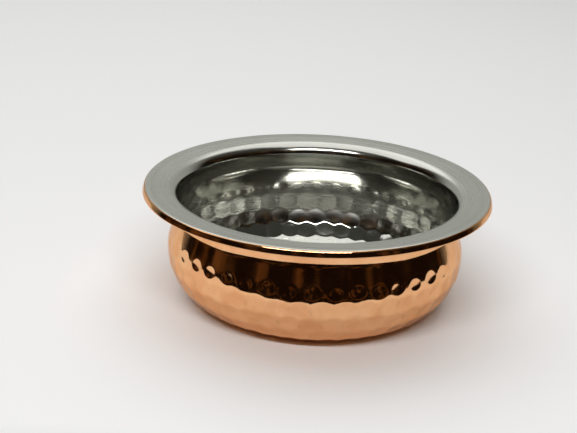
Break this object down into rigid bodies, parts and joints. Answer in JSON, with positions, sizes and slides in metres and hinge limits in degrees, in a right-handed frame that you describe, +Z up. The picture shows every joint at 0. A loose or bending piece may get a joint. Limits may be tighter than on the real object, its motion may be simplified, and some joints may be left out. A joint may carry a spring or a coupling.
{
  "type": "hammered serving handi",
  "caption": "Low round handi pot with a hammered copper outside, a steel inside and a wide flat rim with a rolled edge.",
  "frame": {"origin": "centre of the flat base, on the surface that the pot stands on", "axes": "+Z up along the pot's axis; the pot is the same all round, so X and Y are free"},
  "size_m": [0.21, 0.21, 0.072],
  "materials": {
    "copper_shell": "polished copper",
    "steel_liner": "polished inside, satin on the rim"
  },
  "bodies": {
    "root": {"copper_shell": "copper_shell", "steel_liner": "steel_liner"}
  },
  "joints": []
}
